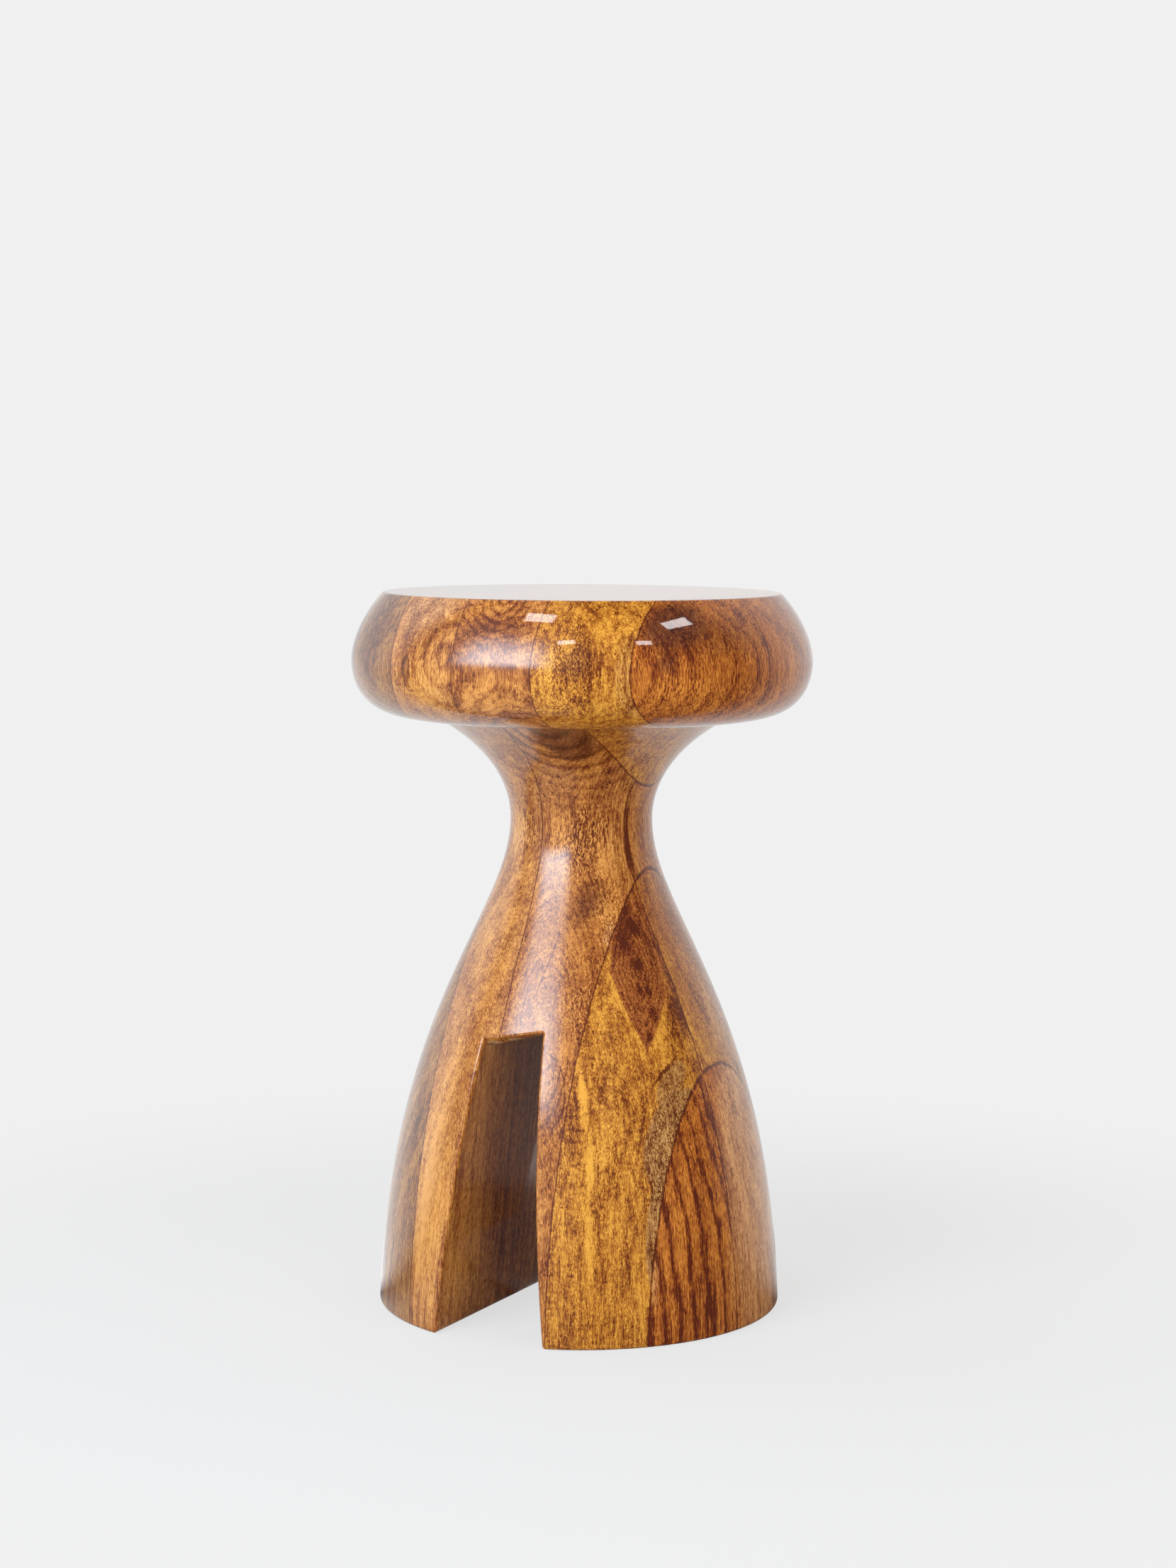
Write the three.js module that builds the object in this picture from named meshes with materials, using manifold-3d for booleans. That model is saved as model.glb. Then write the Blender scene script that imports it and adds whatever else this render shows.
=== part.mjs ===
// Wooden stool turned from one glued-up block: a bell-shaped foot, a narrow neck and a round seat,
// with a tapered slot cut right through the foot. Millimetres, +Z up. The origin is the centre of
// the foot, on the floor. The slot runs along Y, and its front mouth faces -Y.

import * as THREE from 'three';
import { mergeVertices } from 'three/addons/utils/BufferGeometryUtils.js';
import Module from 'manifold-3d';

// Heights, stacked from the floor up
const BELL_HEIGHT = 315;
const FLARE_HEIGHT = 66;
const RIM_LOWER_HEIGHT = 35.5;
const RIM_UPPER_HEIGHT = 43.5;

// Radii, and insets measured inward from the widest ring of the seat
const FOOT_RADIUS = 129.7;
const NECK_RADIUS = 45.7;
const SEAT_RADIUS = 147.6;
const SEAT_TOP_INSET = 20.2;
const RIM_TUCK = 40.2;
const UNDERSIDE_LAND = 11.4;

// Shape of the curves: how far each one holds its starting direction
const BELL_FOOT_RISE = 192.5;
const BELL_FOOT_LEAN = 7.4;
const BELL_NECK_DROP = 61.8;
const FLARE_NECK_RISE = 39.2;
const FLARE_TOP_REACH = 9.8;
const FLARE_TOP_DROP = 4.7;
const RIM_UNDER_REACH = 37.6;
const RIM_BELLY_DROP = 7.8;
const RIM_BELLY_RISE = 6.4;
const RIM_CROWN_REACH = 18.1;
const RIM_CROWN_DROP = 20.8;

// Rounded edges
const FOOT_EDGE = 3;
const SEAT_EDGE = 1.4;

// The slot through the foot. Its walls lean together, and its ceiling slopes across.
const SLOT_FLOOR_WIDTH = 75;
const SLOT_LEAN_DEGREES = 5.37;
const SLOT_LEFT_HEIGHT = 178;
const SLOT_RIGHT_HEIGHT = 188.5;

// The glued-up block: upright boards in two columns, turned a little against the slot
const BOARD_THICKNESS = 50.8;
const BOARD_TURN_DEGREES = 5.4;
const EDGE_JOINT_SETBACK = 16.5;
const GLUE_GAP = 0.3;

// Facets
const RING_FACETS = 60;
const BELL_STEPS = 17;
const FLARE_STEPS = 8;
const RIM_STEPS = 7;
const EDGE_STEPS = 2;

// How far a cutting block reaches past what it cuts
const OVERCUT = 10;

const neckHeight = BELL_HEIGHT;
const undersideHeight = neckHeight + FLARE_HEIGHT;
const widestHeight = undersideHeight + RIM_LOWER_HEIGHT;
const seatHeight = widestHeight + RIM_UPPER_HEIGHT;
const seatTopRadius = SEAT_RADIUS - SEAT_TOP_INSET;
const rimTuckRadius = SEAT_RADIUS - RIM_TUCK;
const flareRadius = rimTuckRadius - UNDERSIDE_LAND;
const blockRadius = Math.max(SEAT_RADIUS, FOOT_RADIUS) + OVERCUT;

const wasm = await Module();
wasm.setup();

// A closed solid from a three.js geometry: shared corners are merged and empty triangles dropped.
function solidFrom(geometry) {
  const bare = geometry.clone();
  bare.deleteAttribute('normal');
  bare.deleteAttribute('uv');
  const merged = mergeVertices(bare);
  const corners = merged.index.array;
  const triVerts = [];
  for (let i = 0; i < corners.length; i += 3) {
    const [a, b, c] = [corners[i], corners[i + 1], corners[i + 2]];
    if (a !== b && b !== c && c !== a) triVerts.push(a, b, c);
  }
  return new wasm.Manifold(new wasm.Mesh({
    numProp: 3,
    vertProperties: Float32Array.from(merged.attributes.position.array),
    triVerts: Uint32Array.from(triVerts),
  }));
}

// The way back: a solid's own corners and triangles as a three.js geometry.
function geometryFrom(solid) {
  const mesh = solid.getMesh();
  const geometry = new THREE.BufferGeometry();
  geometry.setAttribute('position', new THREE.BufferAttribute(Float32Array.from(mesh.vertProperties), 3));
  geometry.setIndex(new THREE.BufferAttribute(Uint32Array.from(mesh.triVerts), 1));
  geometry.computeVertexNormals();
  return geometry;
}

// The turned outline as (radius, height), from the middle of the foot to the middle of the seat.
function turnedOutline() {
  const at = (radius, height) => new THREE.Vector2(radius, height);
  const footEdge = new THREE.QuadraticBezierCurve(
    at(FOOT_RADIUS - FOOT_EDGE, 0),
    at(FOOT_RADIUS, 0),
    at(FOOT_RADIUS, FOOT_EDGE),
  );
  const bell = new THREE.CubicBezierCurve(
    at(FOOT_RADIUS, FOOT_EDGE),
    at(FOOT_RADIUS - BELL_FOOT_LEAN, FOOT_EDGE + BELL_FOOT_RISE),
    at(NECK_RADIUS, neckHeight - BELL_NECK_DROP),
    at(NECK_RADIUS, neckHeight),
  );
  const flare = new THREE.CubicBezierCurve(
    at(NECK_RADIUS, neckHeight),
    at(NECK_RADIUS, neckHeight + FLARE_NECK_RISE),
    at(flareRadius - FLARE_TOP_REACH, undersideHeight - FLARE_TOP_DROP),
    at(flareRadius, undersideHeight),
  );
  const lowerRim = new THREE.CubicBezierCurve(
    at(rimTuckRadius, undersideHeight),
    at(rimTuckRadius + RIM_UNDER_REACH, undersideHeight),
    at(SEAT_RADIUS, widestHeight - RIM_BELLY_DROP),
    at(SEAT_RADIUS, widestHeight),
  );
  const crownSlope = new THREE.Vector2(RIM_CROWN_REACH, -RIM_CROWN_DROP).normalize();
  const edgeStart = at(seatTopRadius, seatHeight).addScaledVector(crownSlope, SEAT_EDGE);
  const upperRim = new THREE.CubicBezierCurve(
    at(SEAT_RADIUS, widestHeight),
    at(SEAT_RADIUS, widestHeight + RIM_BELLY_RISE),
    at(seatTopRadius + RIM_CROWN_REACH, seatHeight - RIM_CROWN_DROP),
    edgeStart,
  );
  const seatEdge = new THREE.QuadraticBezierCurve(
    edgeStart,
    at(seatTopRadius, seatHeight),
    at(seatTopRadius - SEAT_EDGE, seatHeight),
  );
  return [
    at(0, 0),
    ...footEdge.getPoints(EDGE_STEPS),
    ...bell.getPoints(BELL_STEPS).slice(1),
    ...flare.getPoints(FLARE_STEPS).slice(1),
    ...lowerRim.getPoints(RIM_STEPS),
    ...upperRim.getPoints(RIM_STEPS).slice(1),
    ...seatEdge.getPoints(EDGE_STEPS).slice(1),
    at(0, seatHeight),
  ];
}

// The whole turned form, before the slot is cut.
function turnedForm() {
  const lathe = new THREE.LatheGeometry(turnedOutline(), RING_FACETS);
  lathe.rotateX(Math.PI / 2);
  return solidFrom(lathe);
}

// The cut that makes the slot: a leaning-sided outline run along Y past both mouths.
function slotCutter() {
  const lean = Math.tan(THREE.MathUtils.degToRad(SLOT_LEAN_DEGREES));
  const halfWidthAt = (height) => SLOT_FLOOR_WIDTH / 2 - lean * height;
  const outline = new THREE.Shape([
    new THREE.Vector2(-halfWidthAt(-OVERCUT), -OVERCUT),
    new THREE.Vector2(halfWidthAt(-OVERCUT), -OVERCUT),
    new THREE.Vector2(halfWidthAt(SLOT_RIGHT_HEIGHT), SLOT_RIGHT_HEIGHT),
    new THREE.Vector2(-halfWidthAt(SLOT_LEFT_HEIGHT), SLOT_LEFT_HEIGHT),
  ]);
  const run = new THREE.ExtrudeGeometry(outline, { depth: 2 * blockRadius, bevelEnabled: false });
  run.translate(0, 0, -blockRadius);
  run.rotateX(Math.PI / 2);
  return solidFrom(run);
}

const stoolForm = turnedForm().subtract(slotCutter());

// One board of the block, as the box between two board faces, two edges and two heights. Its faces
// stand half a glue gap inside their joint lines.
function boardBox(innerFace, outerFace, frontEdge, backEdge, bottom, top) {
  const width = outerFace - innerFace - GLUE_GAP;
  const depth = backEdge - frontEdge - GLUE_GAP;
  const box = new THREE.BoxGeometry(width, depth, top - bottom);
  box.translate((innerFace + outerFace) / 2, (frontEdge + backEdge) / 2, (bottom + top) / 2);
  box.rotateZ(-THREE.MathUtils.degToRad(BOARD_TURN_DEGREES));
  return solidFrom(box);
}

const WOOD_COLOURS = {
  core: 0xa8682c,
  mid: 0xb57a30,
  rim: 0x7a4520,
};

// A lacquered board of the given shape and name, or nothing where the block has no wood there.
function addBoard(stool, name, colour, box) {
  const solid = stoolForm.intersect(box);
  if (solid.isEmpty()) return;
  const finish = new THREE.MeshStandardMaterial({ color: colour, roughness: 0.18, metalness: 0 });
  const mesh = new THREE.Mesh(geometryFrom(solid), finish);
  mesh.name = name;
  stool.add(mesh);
}

// The columns lie in front of and behind the edge joint.
const columns = [
  { column: 'front', frontEdge: -blockRadius, backEdge: -EDGE_JOINT_SETBACK },
  { column: 'back', frontEdge: -EDGE_JOINT_SETBACK, backEdge: blockRadius },
];

// Layers are counted outward from the middle joint, on both sides of it. A layer that the neck
// passes through runs from floor to seat; one outside the neck was turned into two pieces.
const LAYER_NAMES = ['core', 'mid', 'rim'];
const layerCount = Math.ceil(Math.max(SEAT_RADIUS, FOOT_RADIUS) / BOARD_THICKNESS);

const stool = new THREE.Group();
for (const side of ['left', 'right']) {
  for (let layer = 0; layer < layerCount; layer += 1) {
    const near = layer * BOARD_THICKNESS;
    const far = near + BOARD_THICKNESS;
    const [innerFace, outerFace] = side === 'left' ? [-far, -near] : [near, far];
    const layerName = LAYER_NAMES[layer] ?? `outer${layer}`;
    const colour = WOOD_COLOURS[layerName] ?? WOOD_COLOURS.rim;
    for (const { column, frontEdge, backEdge } of columns) {
      const cell = (bottom, top) => boardBox(innerFace, outerFace, frontEdge, backEdge, bottom, top);
      const place = `${side}_${column}`;
      if (near < NECK_RADIUS) {
        addBoard(stool, `${layerName}_board_${place}`, colour, cell(-OVERCUT, seatHeight + OVERCUT));
      } else {
        addBoard(stool, `foot_${layerName}_${place}`, colour, cell(-OVERCUT, neckHeight));
        addBoard(stool, `seat_${layerName}_${place}`, colour, cell(neckHeight, seatHeight + OVERCUT));
      }
    }
  }
}

export default stool;
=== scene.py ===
"""A turned, laminated and lacquered stool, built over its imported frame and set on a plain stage."""

import math
from functools import partial

import bmesh
import bpy
import numpy as np
from mathutils import Matrix, Vector


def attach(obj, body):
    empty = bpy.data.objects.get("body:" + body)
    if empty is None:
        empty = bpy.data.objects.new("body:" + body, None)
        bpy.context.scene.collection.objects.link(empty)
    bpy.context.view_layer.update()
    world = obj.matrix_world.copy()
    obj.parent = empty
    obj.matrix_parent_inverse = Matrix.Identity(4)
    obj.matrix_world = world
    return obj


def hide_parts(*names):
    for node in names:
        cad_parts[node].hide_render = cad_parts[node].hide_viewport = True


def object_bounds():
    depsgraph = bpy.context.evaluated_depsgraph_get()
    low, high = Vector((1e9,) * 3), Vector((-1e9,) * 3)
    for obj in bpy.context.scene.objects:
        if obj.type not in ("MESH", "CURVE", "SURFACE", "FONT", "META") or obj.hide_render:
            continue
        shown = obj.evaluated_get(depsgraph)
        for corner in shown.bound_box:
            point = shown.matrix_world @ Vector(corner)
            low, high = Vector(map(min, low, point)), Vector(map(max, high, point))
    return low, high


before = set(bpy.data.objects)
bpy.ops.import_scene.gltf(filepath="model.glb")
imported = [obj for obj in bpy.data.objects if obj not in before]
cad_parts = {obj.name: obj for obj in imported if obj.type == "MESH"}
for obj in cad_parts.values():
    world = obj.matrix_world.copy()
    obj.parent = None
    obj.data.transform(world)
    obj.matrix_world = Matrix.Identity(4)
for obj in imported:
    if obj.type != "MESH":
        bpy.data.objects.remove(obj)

bl_info = {
    "name": "Turned laminated stool",
    "version": (1, 0, 0),
    "blender": (4, 5, 0),
    "location": "View3D > Sidebar > Stool",
    "description": "Builds a turned stool from glued, lacquered boards, and a plain studio stage for it",
    "category": "Add Mesh",
}

CAD_BOX = [list(corner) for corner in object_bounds()]
SEAT_HEIGHT = CAD_BOX[1][2]
VIEW_TURN = math.radians(26.9)  # how far the camera stands to the right of the slot's front mouth

# Where the outline's curves are held, as (radius, height) in metres from each of their two ends. The crown's
# second hold is taken from the corner of rim and top.
BELL_HOLDS = ((-0.0074, 0.1925), (0.0, -0.0618))
FLARE_HOLDS = ((0.0, 0.0392), (-0.0098, -0.0047))
BELLY_HOLDS = ((0.0376, 0.0), (0.0, -0.0078))
CROWN_HOLDS = ((0.0, 0.0064), (0.0181, -0.0208))

OVERCUT = 0.01  # how far the boards and the cut of the slot reach past the stool's floor and top
BLOCK_REACH = 0.16  # how far the boards run along their layer, from the middle
ARC_POINTS = 7


def length(name, description, default, precision=4):
    """A size in metres that the sidebar shows in the scene's own unit."""
    return amount(name, description, default, min=0.0, subtype="DISTANCE", unit="LENGTH", precision=precision)


def colour(name, description, default):
    """An sRGB colour, written as hex and kept linear."""
    return bpy.props.FloatVectorProperty(
        name=name, description=description, default=linear(default), size=3, min=0.0, max=1.0, subtype="COLOR"
    )


def amount(name, description, default, **limits):
    """A plain number."""
    return bpy.props.FloatProperty(name=name, description=description, default=default, **limits)


def angle(name, description, degrees):
    """An angle, given in degrees."""
    return amount(name, description, math.radians(degrees), subtype="ANGLE", unit="ROTATION")


def linear(hex_colour):
    """Turns an sRGB hex colour into Blender's linear red, green and blue."""
    parts = [int(hex_colour[i : i + 2], 16) / 255 for i in (1, 3, 5)]
    return tuple(p / 12.92 if p <= 0.04045 else ((p + 0.055) / 1.055) ** 2.4 for p in parts)


class StoolForm(bpy.types.PropertyGroup):
    """Sizes of the turned form and of the slot through its foot."""

    neck_height: length("Neck height", "Height of the narrowest ring above the floor", 0.315)
    underside_height: length("Underside height", "Height of the flat land under the seat", 0.381)
    widest_height: length("Widest height", "Height of the seat's widest ring", 0.4165)
    seat_height: length("Seat height", "Height of the seat's flat top", SEAT_HEIGHT)
    foot_radius: length("Foot radius", "Radius of the foot at the floor", 0.1297)
    neck_radius: length("Neck radius", "Radius of the narrowest ring", 0.0457)
    flare_radius: length("Flare radius", "Radius where the neck's flare meets the underside", 0.096)
    tuck_radius: length("Tuck radius", "Radius where the underside turns up into the rim", 0.1074)
    seat_radius: length("Seat radius", "Radius of the seat's widest ring", 0.1476)
    top_radius: length("Top radius", "Radius of the seat's flat top", 0.1274)
    foot_edge: length("Foot edge", "Rounding of the foot's outer edge", 0.003)
    seat_edge: length("Seat edge", "Rounding between the rim and the flat top", 0.0014)
    slot_width: length("Slot width", "Width of the slot at the floor", 0.075)
    slot_lean: angle("Slot lean", "How much each wall of the slot leans inward", 5.37)
    slot_left: length("Slot height, left", "Height of the ceiling at the left wall", 0.178)
    slot_right: length("Slot height, right", "Height of the ceiling at the right wall", 0.1885)
    mouth_left: length("Mouth height, left", "Height of the front mouth's left corner", 0.1844)
    mouth_right: length("Mouth height, right", "Height of the front mouth's right corner", 0.1906)
    mouth_depth: length("Mouth depth", "Depth over which the ceiling is eased at the front mouth", 0.007)
    leg_edge: length("Leg edge", "Rounding of the slot walls' lower edges", 0.003)
    arris: length("Arris", "Rounding of the slot's mouth edges", 0.0017)
    facets: bpy.props.IntProperty(name="Facets", description="Facets round the turned form", default=240, min=24)


class StoolBoards(bpy.types.PropertyGroup):
    """The glued-up block that the stool is turned from."""

    thickness: length("Board thickness", "Thickness of each board of the block", 0.0508)
    turn: angle("Board turn", "Angle of the boards against the slot", 5.4)
    setback: length("Edge joint setback", "How far the edge joint lies in front of the middle", 0.0165)
    joint: length("Glue joint", "Width left between two boards", 0.00004)


class StoolFinish(bpy.types.PropertyGroup):
    """Colours of the wood and the gloss of its lacquer."""

    core_wood_left: colour("Core wood, left", "Middle tone of the left core boards", "#A8692E")
    core_wood_right: colour("Core wood, right", "Middle tone of the right core boards", "#A6652A")
    mid_wood_left: colour("Second wood, left", "Middle tone of the second boards at the left", "#8C5824")
    mid_wood_right: colour("Second wood, right", "Middle tone of the second boards at the right", "#AC6C21")
    rim_wood_left: colour("Outer wood, left", "Middle tone of the outer boards at the left", "#7C4820")
    rim_wood_right: colour("Outer wood, right", "Middle tone of the outer boards at the right", "#A2591A")
    tan: colour("Tan", "Plain pale wood between darker growth", "#B07846")
    heart: colour("Heartwood", "Red-brown wood round the pith", "#92501E")
    umber: colour("Dark heartwood", "Darkest red-brown growth", "#6C3616")
    sap: colour("Sapwood", "Grey-brown wood under the bark", "#946232")
    # Mostly painted reflection: this pale colour on the slot's eased ceiling at the front mouth stands in for the
    # bright floor reflected there, with some bare wood.
    pale: colour("Bare wood", "Paler wood on the slot's ceiling at the mouth", "#C0A27C")
    gloss: amount("Lacquer roughness", "Roughness of the lacquer film", 0.035, min=0.0, max=1.0)
    ripple: length("Lacquer ripple", "Height of the film's ripples", 0.000012, precision=6)


class StoolStage(bpy.types.PropertyGroup):
    """The floor, the backdrop and the light."""

    backdrop: colour("Backdrop", "Colour that the camera sees behind and below the stool", "#F0F0F0")
    floor: colour("Floor", "Colour of the floor's paint", "#D8D8D8")
    room: amount("Room light", "Strength of the light from all round", 1.0)
    key: amount("Window light", "Brightness of the window at the left", 10.0)
    calm: amount("Floor calm", "How much of the shadow by the stool is held back", 0.75, min=0.0, max=1.0)
    fill: amount("Fill light", "Brightness of the dim panel at the right", 2.8)
    spots: amount("Lamp light", "Brightness of the four small lamps", 11.0)


def bezier(corners, steps):
    """Points along a Bezier curve in (radius, height), and the outward normals there."""
    corners = np.array(corners, float)
    order = len(corners) - 1
    t = np.linspace(0.0, 1.0, steps + 1)[:, None]
    points = sum(math.comb(order, i) * (1 - t) ** (order - i) * t**i * corners[i] for i in range(order + 1))
    legs = np.diff(corners, axis=0)
    slopes = sum(math.comb(order - 1, i) * (1 - t) ** (order - 1 - i) * t**i * legs[i] for i in range(order))
    normals = np.stack([slopes[:, 1], -slopes[:, 0]], axis=1)
    return points, normals / np.linalg.norm(normals, axis=1, keepdims=True)


def swept(start, end, holds, steps):
    """A curve between two points of the outline that holds its direction at both ends."""
    (out_r, out_z), (in_r, in_z) = holds
    return bezier([start, (start[0] + out_r, start[1] + out_z), (end[0] + in_r, end[1] + in_z), end], steps)


def turned_outline(form):
    """The outline below the underside, and the one above it, each as points and normals."""
    foot, neck = (form.foot_radius, form.foot_edge), (form.neck_radius, form.neck_height)
    flare, tuck = (form.flare_radius, form.underside_height), (form.tuck_radius, form.underside_height)
    belly, top = (form.seat_radius, form.widest_height), (form.top_radius, form.seat_height)
    belly_rise, crown = CROWN_HOLDS
    edge = np.array(top) + np.array(crown) / np.linalg.norm(crown) * form.seat_edge
    bell_steps, curve_steps, foot_edge_steps, seat_edge_steps = 64, 28, 8, 6
    lower = [
        bezier([(foot[0] - foot[1], 0), (foot[0], 0), foot], foot_edge_steps),
        swept(foot, neck, BELL_HOLDS, bell_steps),
        swept(neck, flare, FLARE_HOLDS, curve_steps),
    ]
    upper = [
        swept(tuck, belly, BELLY_HOLDS, curve_steps),
        bezier([belly, np.add(belly, belly_rise), np.add(top, crown), edge], curve_steps),
        bezier([edge, top, (top[0] - form.seat_edge, top[1])], seat_edge_steps),
    ]
    return [
        tuple(np.concatenate([curves[0][i]] + [curve[i][1:] for curve in curves[1:]]) for i in (0, 1))
        for curves in (lower, upper)
    ]


def mesh_from(name, points, faces):
    """A mesh from a list of points and a list of faces."""
    mesh = bpy.data.meshes.new(name)
    mesh.from_pydata([tuple(p) for p in points], [], faces)
    mesh.update()
    return mesh


def skinned(name, rings, first_tip, last_tip):
    """A closed mesh over rings of points, with a fan from a tip at each end."""
    count = len(rings[0])
    last, tips = (len(rings) - 1) * count, len(rings) * count
    following = [(i, (i + 1) % count) for i in range(count)]
    faces = [(k + i, k + j, k + count + j, k + count + i) for k in range(0, last, count) for i, j in following]
    faces += [(tips, j, i) for i, j in following]
    faces += [(tips + 1, last + i, last + j) for i, j in following]
    return outward_facing(mesh_from(name, np.concatenate([*rings, [first_tip, last_tip]]), faces))


def lathe(form):
    """The closed turned form, before the slot is cut."""
    (low, _), (high, _) = turned_outline(form)
    turns = np.arange(form.facets) * (2 * math.pi / form.facets)
    rings = [
        np.stack([r * np.cos(turns), r * np.sin(turns), np.full(len(turns), z)], axis=1)
        for r, z in np.concatenate([low, high])
    ]
    return skinned("turned_form", rings, (0, 0, 0), (0, 0, form.seat_height))


def arc(corner, start, end, radius, shares):
    """Points and normals of a rounding between two surfaces that meet in a corner."""
    start, end = np.broadcast_arrays(start, end)
    cosine = np.sum(start * end, axis=-1, keepdims=True)
    centre = corner - radius * (start + end) / (1 + cosine)
    angle = np.maximum(np.arccos(np.clip(cosine, -1, 1)), 1e-4)
    normals = [np.sin((1 - s) * angle) * start + np.sin(s * angle) * end for s in shares]
    normals = [n / np.linalg.norm(n, axis=-1, keepdims=True) for n in normals]
    return [centre + radius * n for n in normals], normals, angle


def slot_outline(form, left_height, right_height):
    """The slot's section in (x, z) from the left leg over the ceiling to the right leg, with normals."""
    lean = math.tan(form.slot_lean)
    half = form.slot_width / 2
    corner_radius, skirt, skirt_drop = 0.0012, 0.006, 0.18
    rise_steps, span_steps = 44, 10
    down = np.array([0.0, -1.0])
    ceiling = np.array([right_height - left_height, lean * (left_height + right_height) - 2 * half])
    ceiling = ceiling / np.linalg.norm(ceiling)
    points, normals = [], []
    for side, height in ((-1, left_height), (1, right_height)):
        wall = np.array([-side, -lean]) / math.hypot(1, lean)
        edge = np.array([side * half, 0])
        foot, foot_normals, _ = arc(edge, down, wall, form.leg_edge, np.linspace(0.1, 1, ARC_POINTS))
        outer = foot[0] + np.array([side, -skirt_drop]) * skirt
        corner = np.array([side * (half - lean * height), height])
        head, head_normals, _ = arc(corner, wall, ceiling, -corner_radius, np.linspace(0, 1, ARC_POINTS))
        rise = [foot[-1] + (head[0] - foot[-1]) * t for t in np.linspace(0, 1, rise_steps)[1:-1]]
        points.append([np.array([outer[0], -OVERCUT]), outer, *foot, *rise, *head])
        normals.append([down, down, *foot_normals, *[wall] * len(rise), *head_normals])
    left, right = points
    span = [left[-1] + (right[-1] - left[-1]) * t for t in np.linspace(0, 1, span_steps)[1:-1]]
    order = left + span + right[::-1]
    turn = normals[0] + [ceiling] * len(span) + normals[1][::-1]
    return np.array(order), np.array(turn)


def mouth(form, low_outline, section, bends, facing):
    """Where each line of the slot meets the turned surface, and the two surfaces' normals there."""
    points, normals = low_outline
    heights = np.maximum(section[:, 1], 0.0)
    radius = np.interp(heights, points[:, 1], points[:, 0])
    outward = np.stack([np.interp(heights, points[:, 1], normals[:, i]) for i in (0, 1)], axis=1)
    y = facing * np.sqrt(radius**2 - section[:, 0] ** 2)
    place = np.stack([section[:, 0], y, section[:, 1]], axis=1)
    turned = np.stack([outward[:, 0] * section[:, 0] / radius, outward[:, 0] * y / radius, outward[:, 1]], axis=1)
    turned /= np.linalg.norm(turned, axis=1, keepdims=True)
    wall = np.stack([bends[:, 0], np.zeros(len(bends)), bends[:, 1]], axis=1)
    return place, wall, turned


def slot_cutter(form):
    """The solid that cuts the slot: walls, eased ceiling, rounded mouth edges and rounded leg edges."""
    low_outline = turned_outline(form)[0]
    inner, bends = slot_outline(form, form.slot_left, form.slot_right)
    front, front_bends = slot_outline(form, form.mouth_left, form.mouth_right)
    shift = front - inner
    clearance, easing, no_rounding = 0.008, 1.5, math.radians(60)
    tip_reach, tip_height = 0.2, 0.09
    rows = []
    for facing, section, section_bends in ((-1, front, front_bends), (1, inner, bends)):
        place, wall, turned = mouth(form, low_outline, section, section_bends, facing)
        if facing < 0:
            slope = shift[:, 1] * easing / form.mouth_depth
            flat = np.zeros(len(slope))
            wall = wall + np.stack([flat, -slope, flat], axis=1) * np.abs(wall[:, 2:3]) ** 3
            wall /= np.linalg.norm(wall, axis=1, keepdims=True)
        rounding, _, angle = arc(place, wall, turned, form.arris, np.linspace(0, 0.9, ARC_POINTS))
        along = rounding[-1] - rounding[-2]
        along /= np.maximum(np.linalg.norm(along, axis=1, keepdims=True), 1e-9)
        blend = np.clip(angle / no_rounding, 0, 1)
        reach = along * blend + np.array([0.0, facing, 0.0]) * (1 - blend)
        reach /= np.linalg.norm(reach, axis=1, keepdims=True)
        mouth_rows = [rounding[-1] + reach * clearance] + rounding[::-1]
        if facing < 0:
            for depth in (0.45, 0.65, 0.85, 1.0):
                y = place[:, 1] + depth * form.mouth_depth
                spot = inner + shift * (1 - depth) ** easing
                mouth_rows.append(np.stack([spot[:, 0], y, spot[:, 1]], axis=1))
            rows += mouth_rows
        else:
            rows += mouth_rows[::-1]
    return skinned("slot_cutter", rows, (0, -tip_reach, tip_height), (0, tip_reach, tip_height))


def outward_facing(mesh):
    """Turns all faces of a closed mesh outward."""
    work = bmesh.new()
    work.from_mesh(mesh)
    bmesh.ops.recalc_face_normals(work, faces=work.faces)
    work.to_mesh(mesh)
    work.free()
    return mesh


def combined(mesh, other, operation):
    """The two closed meshes' difference or overlap, as a new mesh."""
    body = bpy.data.objects.new("work_body", mesh)
    tool = bpy.data.objects.new("work_tool", other)
    for obj in (body, tool):
        bpy.context.scene.collection.objects.link(obj)
    cut = body.modifiers.new("cut", "BOOLEAN")
    cut.operation = operation
    cut.solver = "MANIFOLD"
    cut.object = tool
    depsgraph = bpy.context.evaluated_depsgraph_get()
    result = bpy.data.meshes.new_from_object(body.evaluated_get(depsgraph))
    for obj in (body, tool):
        bpy.data.objects.remove(obj)
    return result


def stool_form(form):
    """The whole turned form with its slot, made once and kept for all boards."""
    kept = bpy.data.meshes.get("slotted_form")
    if kept is None:
        kept = combined(lathe(form), slot_cutter(form), "DIFFERENCE")
        kept.name = "slotted_form"
        kept.use_fake_user = True
    if len(kept.polygons) == 0:
        raise RuntimeError("the slot could not be cut")
    return kept


def board_block(boards, across, along, heights):
    """The box of one board, from its spans across the layers, along them and upward."""
    turn = boards.turn
    across_way = np.array([math.cos(turn), -math.sin(turn), 0])
    along_way = np.array([math.sin(turn), math.cos(turn), 0])
    corners = [across_way * c + along_way * e + np.array([0, 0, z]) for z in heights for e in along for c in across]
    faces = [(0, 2, 3, 1), (4, 5, 7, 6), (0, 1, 5, 4), (2, 6, 7, 3), (0, 4, 6, 2), (1, 3, 7, 5)]
    return outward_facing(mesh_from("board_block", corners, faces))


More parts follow.
